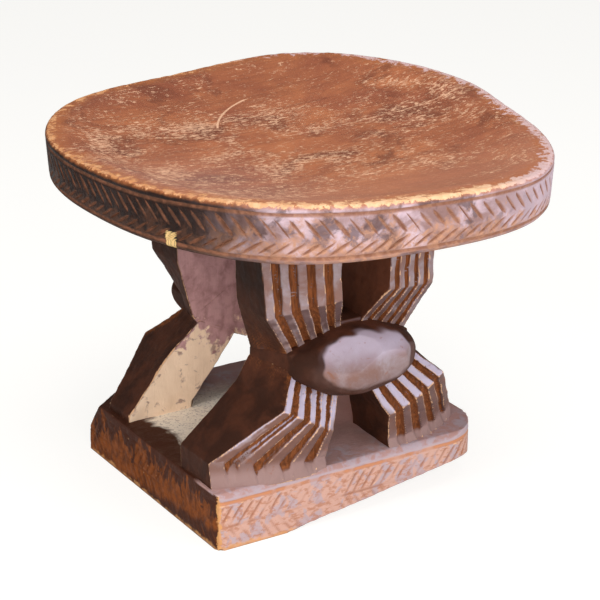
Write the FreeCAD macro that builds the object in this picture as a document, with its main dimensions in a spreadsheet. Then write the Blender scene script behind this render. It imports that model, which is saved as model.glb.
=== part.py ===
import FreeCAD, Part
import math
import os
import Sketcher
from FreeCAD import Vector

# A carved pedestal stool: a dished seat on two openwork panels that stand on a plinth.
# Each panel is a stylised creature cut in the round: one almond body with four ridged limbs,
# two that reach up to the seat and two that reach down to the plinth.
# Millimetres. The origin is on the plinth's underside, below the middle of the panels. +Z is up, +X
# runs along the plinth's long side and the front of the stool faces -Y.

# Driving sizes. A limb is described at its stations: at each one its inner and outer corner have a
# place in X and Z, and "front" is how far the ridged face stands out from the middle plane.
SIZES = {
    # Seat, with its heights at the low sides of the rim
    "seat_height": 325.5,
    "rim_height": 42.0,
    "rim_taper": 2.7,
    "rim_round": 4.0,
    "rim_band": 12.0,
    "dish_depth": 14.5,
    # Hollow curve of the rim's top, which climbs along one direction, in degrees from +X
    "rim_curve_radius": 2550.0,
    "rim_curve_turn": 50.8,
    # Reach of the hand-cut seat outline from the stool's axis, every 30 degrees from +X
    "reach_right": 226.0,
    "reach_right_rear_side": 241.0,
    "reach_right_rear_corner": 243.0,
    "reach_rear": 217.5,
    "reach_left_rear_corner": 232.0,
    "reach_left_rear_side": 218.5,
    "reach_left": 201.0,
    "reach_left_front_side": 210.0,
    "reach_left_front_corner": 227.5,
    "reach_front": 229.0,
    "reach_right_front_corner": 245.0,
    "reach_right_front_side": 230.0,
    # Plinth
    "plinth_left_end": 149.5,
    "plinth_right_end": 140.0,
    "plinth_front_end": 125.0,
    "plinth_rear_end": 132.0,
    "plinth_height": 54.0,
    "plinth_corner": 10.0,
    "plinth_worn_corner": 45.0,
    "plinth_bevel": 4.0,
    # Wear under the plinth's right front corner
    "front_wear_length": 220.0,
    "front_wear_depth": 70.0,
    "front_wear_height": 32.0,
    # Wear on top of the plinth's left rear corner
    "rear_wear_length": 38.0,
    "rear_wear_depth": 31.0,
    "rear_wear_height": 41.0,
    # Clear passage between the two panels
    "passage_width": 108.0,
    # How far a panel's sides spread towards the passage, at its waist and at its lower knees
    "waist_spread": 14.0,
    "front_knee_spread": 6.0,
    "rear_knee_spread": 17.0,
    # Ridges and grooves that run along every limb
    "groove_width_share": 0.115,
    "groove_depth": 4.5,
    # Upper limb under the seat
    "upper_top_inner_x": 27.5,
    "upper_top_outer_x": 91.5,
    "upper_top_inner_front": 129.5,
    "upper_top_outer_front": 100.5,
    "upper_inner_spread": 4.0,
    # Upper limb at its knee
    "upper_knee_inner_x": 24.5,
    "upper_knee_inner_z": 213.0,
    "upper_knee_outer_x": 87.0,
    "upper_knee_outer_z": 200.0,
    "upper_knee_inner_front": 129.5,
    "upper_knee_outer_front": 106.0,
    # Upper limb where it meets the body
    "upper_end_inner_x": 12.0,
    "upper_end_inner_z": 182.0,
    "upper_end_outer_x": 61.5,
    "front_upper_end_outer_z": 160.0,
    "rear_upper_end_outer_z": 152.0,
    "upper_end_inner_front": 106.0,
    "upper_end_outer_front": 97.0,
    # Lower limb where it meets the body
    "lower_end_inner_x": 17.5,
    "lower_end_inner_z": 114.0,
    "front_lower_end_outer_x": 63.5,
    "front_lower_end_outer_z": 140.0,
    "rear_lower_end_outer_x": 56.0,
    "rear_lower_end_outer_z": 132.0,
    "lower_end_inner_front": 111.0,
    "lower_end_outer_front": 106.0,
    "front_end_flare": 2.0,
    "rear_end_flare": 12.0,
    # Lower limb at its knee
    "lower_knee_inner_x": 29.5,
    "lower_knee_inner_z": 88.0,
    "lower_knee_outer_x": 84.0,
    "front_knee_outer_z": 122.0,
    "rear_knee_outer_z": 106.0,
    "lower_knee_inner_front": 124.0,
    "lower_knee_outer_front": 130.0,
    "lower_knee_bow": 5.0,
    "front_knee_flare": 2.0,
    "rear_knee_flare": 19.0,
    # Lower limb at the foot of its ridges, which the carver cut differently on each side
    "lower_foot_inner_x": 33.5,
    "lower_foot_inner_z": 60.0,
    "lower_foot_inner_front": 117.0,
    "lower_foot_bow": 9.0,
    "front_foot_flare": 2.0,
    "rear_foot_flare": 42.0,
    "front_left_foot_outer_z": 77.0,
    "front_left_foot_outer_front": 105.0,
    "front_left_foot_inset": 3.5,
    "front_right_foot_outer_z": 62.0,
    "front_right_foot_outer_front": 86.0,
    "front_right_foot_inset": 16.0,
    "rear_foot_outer_z": 60.0,
    "rear_foot_outer_front": 92.0,
    "rear_foot_inset": 7.0,
    # Plain sole under the ridges, spread out on the plinth
    "sole_spread": 4.0,
    # Almond body
    "body_middle_z": 147.0,
    "body_middle_front": 103.5,
    "body_half_length": 64.0,
    "body_half_height": 32.0,
    "body_swell": 46.0,
}

RIDGES = 5
GROOVE_WALL_SHARE = 0.22
DISH_RINGS = 6
DISH_FLAT_SHARE = 0.12
DISH_CURVE = 2.4
START_RADIUS = 50.0
CUT_MARGIN = 1.0
FAINT_SHARE = 0.02
TOUCH = 1e-6

doc = FreeCAD.newDocument("carved_pedestal_stool")
sheet = doc.addObject("Spreadsheet::Sheet", "sizes")
for row, (alias, value) in enumerate(SIZES.items(), start=1):
    sheet.set(f"A{row}", alias)
    sheet.set(f"B{row}", str(value))
    sheet.setAlias(f"B{row}", alias)
doc.recompute()


def size(alias):
    """The value of one cell of the sheet."""
    return float(sheet.get(alias))


def bound_polygon(sketch, corners):
    """Draws a closed polygon in a sketch and ties each corner to the sheet.

    corners is a list of (x expression, y expression), both measured from the sketch's origin.
    The corners start on a circle, and the constraints then carry them to their places.
    """
    count = len(corners)
    places = []
    for index in range(count):
        turn = 2 * math.pi * index / count
        places.append(Vector(math.cos(turn), math.sin(turn), 0) * START_RADIUS)
    for index in range(count):
        sketch.addGeometry(Part.LineSegment(places[index], places[(index + 1) % count]), False)
    for index in range(count):
        following = (index + 1) % count
        sketch.addConstraint(Sketcher.Constraint("Coincident", index, 2, following, 1))
    for index, (x, y) in enumerate(corners):
        for kind, expression, place in (("DistanceX", x, places[index].x),
                                        ("DistanceY", y, places[index].y)):
            number = sketch.addConstraint(
                Sketcher.Constraint(kind, -1, 1, index, 1, place))
            sketch.setExpression(f"Constraints[{number}]", expression)


def station(name, prefix, **others):
    """A station of a limb: where its inner and outer corner lie, and the form of its ridged face.

    The face stands out by "front" at each corner and bows further between them. On the passage side
    the inner corner flares away from the ridged one, and the outer corner spreads out from it.
    Values not given come from the cells of that prefix.
    """
    place = {"name": name, "bow": "0", "flare": "0", "spread": "0", "grooves": "sizes.groove_depth"}
    for part in ("inner_x", "outer_x", "inner_z", "outer_z", "inner_front", "outer_front"):
        place[part] = f"sizes.{prefix}_{part}"
    place.update(others)
    return place


def limb_section(body, place, side_x, side_y):
    """One closed section of a limb, with its ridges and grooves, on a plane that holds the Y axis."""
    sketch = body.newObject("Sketcher::SketchObject", f"{body.Label}_{place['name']}")
    run = f"({place['outer_x']} - {place['inner_x']})"
    rise = f"({place['outer_z']} - {place['inner_z']})"
    width = f"hypot({run}; {rise})"
    corner = f"vector({side_x} * {place['inner_x']}; 0; {place['inner_z']})"
    turn = f"rotation(vector(0; 1; 0); -atan2({rise}; {side_x} * {run}))"
    sketch.setExpression("Placement", f"placement({corner}; {turn})")

    def ridged_face(share, depth):
        spread = f"({place['outer_front']} - ({place['inner_front']})) * ({share})"
        bow = f"{place['bow']} * 4 * ({share}) * (1 - ({share}))"
        return f"{side_y} * ({place['inner_front']} + {spread} + {bow} - {depth})"

    groove = "sizes.groove_width_share"
    ridge = f"((1 - {RIDGES - 1} * {groove}) / {RIDGES})"
    corners = [("0", ridged_face("0", "0"))]
    for index in range(1, RIDGES):
        start = f"{index} * {ridge} + {index - 1} * {groove}"
        for along, depth in ((0, "0"), (GROOVE_WALL_SHARE, place["grooves"]),
                             (1 - GROOVE_WALL_SHARE, place["grooves"]), (1, "0")):
            share = f"{start} + {along} * {groove}"
            corners.append((f"{width} * ({share})", ridged_face(share, depth)))
    inner_face = f"{side_y} * sizes.passage_width / 2"
    corners.append((width, ridged_face("1", "0")))
    corners.append((f"{width} + {place['spread']}", inner_face))
    corners.append((place["flare"], inner_face))
    bound_polygon(sketch, corners)
    return sketch


def limb(label, stations, side_x, side_y):
    """A ridged limb, cut straight from one station to the next."""
    body = doc.addObject("PartDesign::Body", label)
    body.Label = label
    sections = [limb_section(body, place, side_x, side_y) for place in stations]
    doc.recompute()
    loft = body.newObject("PartDesign::AdditiveLoft", label + "_loft")
    loft.Profile = sections[0]
    loft.Sections = sections[1:]
    loft.Ruled = True
    return body


SEAT_UNDERSIDE = "(sizes.seat_height - sizes.rim_height)"
PLINTH_TOP = "sizes.plinth_height"


def upper_stations(panel):
    """From the seat's underside, by the knee, to the body."""
    return [
        station("top", "upper_top", inner_z=SEAT_UNDERSIDE, outer_z=SEAT_UNDERSIDE,
                flare="-sizes.upper_inner_spread"),
        station("knee", "upper_knee", flare="-sizes.upper_inner_spread"),
        station("end", "upper_end", outer_z=f"sizes.{panel}_upper_end_outer_z",
                spread="sizes.waist_spread"),
    ]


def lower_stations(panel, foot, foot_end):
    """From the body, by the knee and the foot of the ridges, to the plain sole on the plinth."""
    shared = {
        "outer_x": foot_end,
        "bow": "sizes.lower_foot_bow",
        "flare": f"sizes.{panel}_foot_flare",
    }
    return [
        station("end", "lower_end", outer_x=f"sizes.{panel}_lower_end_outer_x",
                outer_z=f"sizes.{panel}_lower_end_outer_z", flare=f"sizes.{panel}_end_flare",
                spread="sizes.waist_spread"),
        station("knee", "lower_knee", outer_z=f"sizes.{panel}_knee_outer_z",
                bow="sizes.lower_knee_bow", flare=f"sizes.{panel}_knee_flare",
                spread=f"sizes.{panel}_knee_spread"),
        station("foot", "lower_foot", outer_z=f"sizes.{foot}_outer_z",
                outer_front=f"sizes.{foot}_outer_front", **shared),
        station("sole", "lower_foot", inner_z=PLINTH_TOP, outer_z=PLINTH_TOP, grooves="0",
                inner_front="(sizes.lower_foot_inner_front + sizes.sole_spread)",
                outer_front=f"(sizes.{foot}_outer_front + sizes.sole_spread)", **shared),
    ]


def limbs():
    """Four upper limbs, alike on each panel, and four lower ones, each from its own foot."""
    made = []
    for panel, side_y in (("front", -1), ("rear", 1)):
        for hand, side_x in (("left", -1), ("right", 1)):
            foot = "rear_foot" if panel == "rear" else f"front_{hand}_foot"
            foot_end = f"(sizes.plinth_{hand}_end - sizes.{foot}_inset)"
            made.append(limb(f"{panel}_upper_{hand}_limb", upper_stations(panel), side_x, side_y))
            made.append(limb(f"{panel}_lower_{hand}_limb",
                             lower_stations(panel, foot, foot_end), side_x, side_y))
    return made


def body_outline(panel, name, y, spread):
    """The eight-sided outline of a panel's body at one depth, with its outer corners spread out.

    The corners spread along the limbs' own end planes.
    """
    outline = doc.addObject("Sketcher::SketchObject", f"{panel}_body_{name}")
    outline.setExpression("Placement", f"placement(vector(0; {y}; 0); rotation(vector(1; 0; 0); 90))")

    def spread_corner(end, outer_x, outer_z):
        run = f"({outer_x} - sizes.{end}_inner_x)"
        rise = f"({outer_z} - sizes.{end}_inner_z)"
        share = f"{spread} / hypot({run}; {rise})"
        return f"{outer_x} + {run} * {share}", f"{outer_z} + {rise} * {share}"

    right_side = [
        ("sizes.lower_end_inner_x", "sizes.lower_end_inner_z"),
        spread_corner("lower_end", f"sizes.{panel}_lower_end_outer_x",
                      f"sizes.{panel}_lower_end_outer_z"),
        spread_corner("upper_end", "sizes.upper_end_outer_x", f"sizes.{panel}_upper_end_outer_z"),
        ("sizes.upper_end_inner_x", "sizes.upper_end_inner_z"),
    ]
    left_side = [(f"-({x})", z) for x, z in reversed(right_side)]
    bound_polygon(outline, right_side + left_side)
    return outline


def almond_body(panel, side_y):
    """The body between a panel's limbs: an almond that swells out of an eight-sided block.

    The block's slanting sides are the limbs' own end planes, so each limb meets it face to face.
    Towards the passage the block spreads out at its sides, as the limbs do.
    """
    outline = body_outline(panel, "outline", "0", "0")
    near = body_outline(panel, "near", f"{side_y} * sizes.passage_width / 2", "sizes.waist_spread")
    far = body_outline(panel, "far", f"{side_y} * sizes.upper_end_outer_front", "0")
    wedge = doc.addObject("Part::Loft", f"{panel}_body_wedge")
    wedge.Sections = [near, far]
    wedge.Solid = True
    wedge.Ruled = True

    block = doc.addObject("Part::Extrusion", f"{panel}_body_block")
    block.Base = outline
    block.DirMode = "Custom"
    block.Dir = Vector(0, side_y, 0)
    block.Solid = True
    block.setExpression("LengthFwd", "sizes.body_middle_front + sizes.body_swell")
    block.setExpression("LengthRev", "-sizes.passage_width / 2")

    almond = doc.addObject("Part::Ellipsoid", f"{panel}_body_almond")
    almond.setExpression("Radius1", "sizes.body_half_height")
    almond.setExpression("Radius2", "sizes.body_half_length")
    almond.setExpression("Radius3", "sizes.body_swell")
    almond.setExpression("Placement.Base.y", f"{side_y} * sizes.body_middle_front")
    almond.setExpression("Placement.Base.z", "sizes.body_middle_z")

    root = doc.addObject("Part::Box", f"{panel}_body_root")
    root.setExpression("Length", "sizes.plinth_left_end + sizes.plinth_right_end")
    root.setExpression("Width", "sizes.body_middle_front - sizes.passage_width / 2")
    root.setExpression("Height", "sizes.seat_height")
    root.setExpression("Placement.Base.x", "-sizes.plinth_left_end")
    nearest = "sizes.passage_width / 2" if side_y > 0 else "-sizes.body_middle_front"
    root.setExpression("Placement.Base.y", nearest)

    swell = doc.addObject("Part::Fuse", f"{panel}_body_swell_and_root")
    swell.Base = almond
    swell.Tool = root
    carved = doc.addObject("Part::Common", f"{panel}_body_carved")
    carved.Base = block
    carved.Tool = swell
    body = doc.addObject("Part::Fuse", f"{panel}_body")
    body.Label = f"{panel}_body"
    body.Base = carved
    body.Tool = wedge
    body.Refine = True
    return body


def worn_edge(body, name, end, edge_y, edge_z, out_y, out_z):
    """Wears away one long edge of the plinth, most at one end and running out to nothing.

    end is the plinth's worn end, -1 for left or 1 for right. edge_y and edge_z place the edge, and
    out_y and out_z say which way is out of the block.
    """
    sections = []
    end_x = "sizes.plinth_right_end" if end > 0 else "sizes.plinth_left_end"
    for label, place, share in (
            ("deep", f"{end} * ({end_x} + {CUT_MARGIN})", "1"),
            ("faint", f"{end} * ({end_x} - sizes.{name}_length)", f"{FAINT_SHARE}")):
        sketch = body.newObject("Sketcher::SketchObject", f"{name}_{label}")
        turn = "rotation(vector(1; 1; 1); 120)"
        sketch.setExpression("Placement", f"placement(vector({place}; 0; 0); {turn})")
        outside_y = f"{edge_y} + {out_y * CUT_MARGIN}"
        outside_z = f"{edge_z} + {out_z * CUT_MARGIN}"
        bound_polygon(sketch, [
            (outside_y, outside_z),
            (outside_y, f"{edge_z} - {out_z} * sizes.{name}_height * {share}"),
            (f"{edge_y} - {out_y} * sizes.{name}_depth * {share}", outside_z),
        ])
        sections.append(sketch)
    doc.recompute()
    wear = body.newObject("PartDesign::SubtractiveLoft", name)
    wear.Profile = sections[0]
    wear.Sections = sections[1:]
    wear.Ruled = True
    doc.recompute()


def plinth():
    """The plinth: a squared block with eased corners and a bevel along its two long top edges."""
    body = doc.addObject("PartDesign::Body", "base")
    body.Label = "base"
    sketch = body.newObject("Sketcher::SketchObject", "base_outline")
    ground = [f for f in body.Origin.OriginFeatures if f.Role == "XY_Plane"][0]
    sketch.AttachmentSupport = (ground, [""])
    sketch.MapMode = "FlatFace"
    left = "-sizes.plinth_left_end"
    right = "sizes.plinth_right_end"
    front = "-sizes.plinth_front_end"
    rear = "sizes.plinth_rear_end"
    bound_polygon(sketch, [
        (left, front),
        (right, front),
        (right, rear),
        (left, rear),
    ])
    pad = body.newObject("PartDesign::Pad", "base_block")
    pad.Profile = sketch
    pad.setExpression("Length", "sizes.plinth_height")
    doc.recompute()

    top = size("plinth_height")
    long_edges = [f"Edge{number}" for number, edge in enumerate(pad.Shape.Edges, start=1)
                  if abs(edge.CenterOfMass.z - top) < TOUCH and edge.BoundBox.YLength < TOUCH]
    bevel = body.newObject("PartDesign::Chamfer", "base_bevel")
    bevel.Base = (pad, long_edges)
    bevel.setExpression("Size", "sizes.plinth_bevel")
    doc.recompute()

    def upright(shape, worn):
        """The upright corner edges that still stand square: the worn front right one, or the rest."""
        return [f"Edge{number}" for number, edge in enumerate(shape.Edges, start=1)
                if max(edge.BoundBox.XLength, edge.BoundBox.YLength) < TOUCH
                and (edge.CenterOfMass.x > 0 > edge.CenterOfMass.y) == worn]

    corners = body.newObject("PartDesign::Fillet", "base_corners")
    corners.Base = (bevel, upright(bevel.Shape, worn=False))
    corners.setExpression("Radius", "sizes.plinth_corner")
    doc.recompute()
    worn_corner = body.newObject("PartDesign::Fillet", "base_worn_corner")
    worn_corner.Base = (corners, upright(corners.Shape, worn=True))
    worn_corner.setExpression("Radius", "sizes.plinth_worn_corner")
    doc.recompute()

    worn_edge(body, "front_wear", 1, "-sizes.plinth_front_end", "0", -1, -1)
    worn_edge(body, "rear_wear", -1, "sizes.plinth_rear_end", "sizes.plinth_height", 1, 1)
    return body


REACHES = [alias for alias in SIZES if alias.startswith("reach_")]


def rim_lift(reach, turn):
    """How far the hollow curve of the rim's top has climbed at a place on the seat."""
    along = reach * math.cos(turn - math.radians(size("rim_curve_turn")))
    radius = size("rim_curve_radius")
    return radius - math.sqrt(radius ** 2 - along ** 2)


def seat_outline(inset, scale, height, lift=0):
    """The hand-cut seat outline, drawn in by an inset and scaled towards the axis, at a height.

    lift is the share of the rim's climb that the outline follows.
    """
    points = []
    for index, alias in enumerate(REACHES):
        turn = 2 * math.pi * index / len(REACHES)
        reach = (size(alias) - inset) * scale
        climbed = height + lift * rim_lift(reach, turn)
        points.append(Vector(reach * math.cos(turn), reach * math.sin(turn), climbed))
    curve = Part.BSplineCurve()
    curve.interpolate(Points=points, PeriodicFlag=True)
    return Part.Wire([curve.toShape()])


def seat():
    """The seat: a thick slab with a tapered rim, rounded edges and a dish hollowed into its top.

    A large cylinder, lying across the direction of the climb, gives the rim's top its hollow curve.
    """
    top = size("seat_height")
    underside = top - size("rim_height")
    farthest = max(size(alias) for alias in REACHES)
    highest = rim_lift(farthest, math.radians(size("rim_curve_turn"))) + CUT_MARGIN
    spread = size("rim_taper") * highest / size("rim_height")
    slab = Part.makeLoft([seat_outline(size("rim_taper"), 1, underside),
                          seat_outline(-spread, 1, top + highest)], True, True)
    turn = math.radians(size("rim_curve_turn"))
    across = Vector(-math.sin(turn), math.cos(turn), 0)
    axis_start = Vector(0, 0, top + size("rim_curve_radius")) - across * 2 * farthest
    slab = slab.cut(Part.makeCylinder(
        size("rim_curve_radius"), 4 * farthest, axis_start, across))
    edges = [edge for edge in slab.Edges if edge.BoundBox.ZLength < size("rim_height") / 2]
    slab = slab.makeFillet(size("rim_round"), edges)

    rings = [seat_outline(size("rim_band"), 1, top + highest)]
    for index in range(1, DISH_RINGS + 1):
        share = index / DISH_RINGS
        depth = size("dish_depth") * (1 - (1 - share) ** DISH_CURVE)
        scale = 1 - share * (1 - DISH_FLAT_SHARE)
        rings.append(seat_outline(size("rim_band"), scale, top - depth, 1 - share))
    dish = Part.makeLoft(rings, True, False)
    feature = doc.addObject("Part::Feature", "seat")
    feature.Label = "seat"
    feature.Shape = slab.cut(dish)
    feature.Placement = FreeCAD.Placement()
    return feature


subparts = [seat(), plinth()]
subparts += [almond_body("front", -1), almond_body("rear", 1)]
subparts += limbs()
doc.recompute()

for item in doc.Objects:
    if "Invalid" in item.State or "Error" in item.State:
        raise RuntimeError(f"{item.Label} failed: {item.State}")
for item in subparts:
    shape = item.Shape
    if shape.isNull() or not shape.isValid():
        raise RuntimeError(f"{item.Label} has no valid shape")
    if len(shape.Solids) != 1:
        raise RuntimeError(f"{item.Label} has {len(shape.Solids)} solids")

os.makedirs("parts", exist_ok=True)
for item in subparts:
    item.Shape.exportStep(os.path.join("parts", item.Label + ".step"))
    box = item.Shape.BoundBox
    print(f"{item.Label}: {item.Shape.Volume / 1000:.0f} cm3, "
          f"{box.XLength:.0f} x {box.YLength:.0f} x {box.ZLength:.0f} mm")
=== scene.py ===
# %% [markdown]
# # A carved stool, dressed in Blender
# The stool was cut from one log: a dished seat, two openwork panels of ridged limbs round an
# almond body, and a plinth. The imported CAD model gives each of these its place and its size.
# This lesson keeps them and adds what a hand and a long life leave on wood: cut patterns, planed
# facets, rounded edges, patina, scratches and wear. Some light and shade is painted into the
# colours as well.

# %% Load the imported model
import math
import random

import bmesh
import bpy
import numpy as np
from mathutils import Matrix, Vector, noise
from mathutils.bvhtree import BVHTree


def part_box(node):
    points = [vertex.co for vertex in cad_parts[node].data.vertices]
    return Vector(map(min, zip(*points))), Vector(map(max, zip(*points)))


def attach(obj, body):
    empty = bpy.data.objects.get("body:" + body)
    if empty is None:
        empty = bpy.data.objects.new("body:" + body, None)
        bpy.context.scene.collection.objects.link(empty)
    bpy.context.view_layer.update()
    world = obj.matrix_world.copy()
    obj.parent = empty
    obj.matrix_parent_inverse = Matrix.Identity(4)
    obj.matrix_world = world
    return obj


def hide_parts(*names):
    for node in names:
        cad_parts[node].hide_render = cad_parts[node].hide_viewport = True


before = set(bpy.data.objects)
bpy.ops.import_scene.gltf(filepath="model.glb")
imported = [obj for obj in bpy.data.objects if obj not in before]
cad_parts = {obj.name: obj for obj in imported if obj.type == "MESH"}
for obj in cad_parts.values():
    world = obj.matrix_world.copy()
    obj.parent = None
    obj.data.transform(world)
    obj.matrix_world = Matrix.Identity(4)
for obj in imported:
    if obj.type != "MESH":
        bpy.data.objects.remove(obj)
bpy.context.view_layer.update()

random.seed(7)
MM = 0.001
scene = bpy.context.scene
scene.view_settings.view_transform = "Standard"

# %% [markdown]
# ## The camera
# The stool is seen from its left front corner and from a little above. A long lens gives the
# nearly parallel lines of a picture taken from two metres away. The camera stands on a sphere
# round a point in the middle of the pedestal, so that angle and distance can be set by themselves.
# The lights are placed in the same way further down.

# %% The camera
AZIMUTH = -31.5
ELEVATION = 21.4
DISTANCE = 2015 * MM
AIM = Vector((0, -18.5 * MM, 171.5 * MM))
SENSOR_WIDTH = 36
FOCAL_LENGTH = 131.7


def stand_at(thing, azimuth, elevation, distance):
    turn = math.radians(azimuth)
    rise = math.radians(elevation)
    away = Vector((
        math.sin(turn) * math.cos(rise), -math.cos(turn) * math.cos(rise), math.sin(rise)))
    thing.location = AIM + away * distance
    thing.rotation_euler = (-away).to_track_quat("-Z", "Y").to_euler()


lens = bpy.data.cameras.new("camera")
lens.sensor_width = SENSOR_WIDTH
lens.lens = FOCAL_LENGTH
camera = bpy.data.objects.new("camera", lens)
scene.collection.objects.link(camera)
scene.camera = camera
stand_at(camera, AZIMUTH, ELEVATION, DISTANCE)
print("camera at", [round(c, 3) for c in camera.location])

# %% [markdown]
# ## Copies that may be carved
# A CAD node is never changed, so each piece starts from a copy of its mesh. The copy is loose
# triangles, so its doubles are merged first. A voxel remesh then gives it an even skin of small
# squares. On such a skin a point can be pushed in anywhere, as a knife pushes into wood, and its
# sharp machine edges come out slightly blunt, as the edges of a handled stool are.

# %% Copy, remesh and read points
def solid_copy(node):
    shape = bmesh.new()
    shape.from_mesh(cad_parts[node].data)
    bmesh.ops.remove_doubles(shape, verts=shape.verts, dist=0.01 * MM)
    return shape


def as_object(shape, name):
    mesh = bpy.data.meshes.new(name)
    shape.to_mesh(mesh)
    shape.free()
    piece = bpy.data.objects.new(name, mesh)
    scene.collection.objects.link(piece)
    return piece


def even_skin(shape, name, voxel):
    piece = as_object(shape, name)
    skin = piece.modifiers.new("even skin", "REMESH")
    skin.mode = "VOXEL"
    skin.voxel_size = voxel
    bpy.context.view_layer.update()
    ready = piece.evaluated_get(bpy.context.evaluated_depsgraph_get())
    dense = bpy.data.meshes.new_from_object(ready)
    loose = piece.data
    piece.modifiers.clear()
    piece.data = dense
    bpy.data.meshes.remove(loose)
    dense.name = name
    return piece


def points_of(piece, what="co"):
    flat = np.empty(len(piece.data.vertices) * 3)
    piece.data.vertices.foreach_get(what, flat)
    return flat.reshape(-1, 3)


def normals_of(piece):
    return points_of(piece, "normal")


def set_points(piece, points):
    piece.data.vertices.foreach_set("co", np.asarray(points, np.float32).ravel())
    piece.data.update()


# %% [markdown]
# ## Unevenness and wear
# A hand-cut surface wanders a little. Smooth noise moves the points along their normals by some
# tenths of a millimetre. The noise is a sum of waves with random directions, which numpy works out
# for all points of a piece at once. Wear follows the shape: an edge that stands out is rubbed
# pale. To find such edges, the skin is smoothed and compared with itself. The result is kept on
# the points as an attribute, which the materials read.

# %% Noise, smoothing and notes on points
WAVES = 14
WAVE_PACE = 1.8
WAVE_HEIGHT = 0.4


def wander(points, size, seed):
    dice = np.random.default_rng(seed)
    directions = dice.normal(size=(3, WAVES)) * WAVE_PACE / size
    starts = dice.uniform(0, 2 * math.pi, WAVES)
    waves = np.sin(np.asarray(points) @ directions + starts)
    return waves.sum(axis=1) * WAVE_HEIGHT / math.sqrt(WAVES)


def sway(points, size, seed):
    return np.stack([wander(points, size, 300 * axis + seed) for axis in (1, 2, 3)], axis=1)


def smooth_step(values, low, high):
    share = np.clip((values - low) / (high - low), 0, 1)
    return share * share * (3 - 2 * share)


def clamped(value):
    return min(max(value, 0), 1)


def fading(distance, reach):
    return max(0, 1 - distance / reach)


def furrow(distance, depth, half_width):
    return depth * max(0, 1 - (distance / half_width) ** 2)


def edge_ends(piece):
    flat = np.empty(len(piece.data.edges) * 2, dtype=np.int32)
    piece.data.edges.foreach_get("vertices", flat)
    return flat.reshape(-1, 2)


def relaxed(points, ends, rounds):
    one, two = ends[:, 0], ends[:, 1]
    size = len(points)
    count = np.bincount(one, minlength=size) + np.bincount(two, minlength=size)
    for _ in range(rounds):
        total = np.empty_like(points)
        for axis in range(3):
            values = points[:, axis]
            at_one = np.bincount(one, values[two], size)
            at_two = np.bincount(two, values[one], size)
            total[:, axis] = at_one + at_two
        points = 0.5 * points + 0.5 * total / np.maximum(count, 1)[:, None]
    return points


def standing_out(piece, rounds):
    points = points_of(piece)
    smooth = relaxed(points, edge_ends(piece), rounds)
    return ((points - smooth) * normals_of(piece)).sum(axis=1) / MM


def note(piece, name, values):
    layer = piece.data.attributes.new(name, "FLOAT", "POINT")
    layer.data.foreach_set("value", np.asarray(values, np.float32))


def hand_over(piece, node, material):
    piece.data.materials.clear()
    piece.data.materials.append(material)
    piece.data.shade_smooth()
    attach(piece, "root")
    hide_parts(node)
    print(piece.name, "stands for", node, "with", len(piece.data.polygons), "faces")


# %% [markdown]
# ## Writing materials briefly
# A material is a graph of nodes. This small class adds one node with each short call and takes
# either a number or another node's output for every input, so that a finish reads as a recipe.
# `between` rises softly from 0 at its first limit to 1 at its second, `plus` adds a share of one
# value to another, and `layers` lays coats of paint over a ground, each through its own mask.
# Places are in metres. Colours are written as they look on a screen and are turned into the linear
# values that a shader uses.

# %% A recipe for shader nodes
def colour(red, green, blue):
    def linear(value):
        share = value / 255
        return share / 12.92 if share <= 0.04045 else ((share + 0.055) / 1.055) ** 2.4
    return (linear(red), linear(green), linear(blue), 1)


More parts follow.
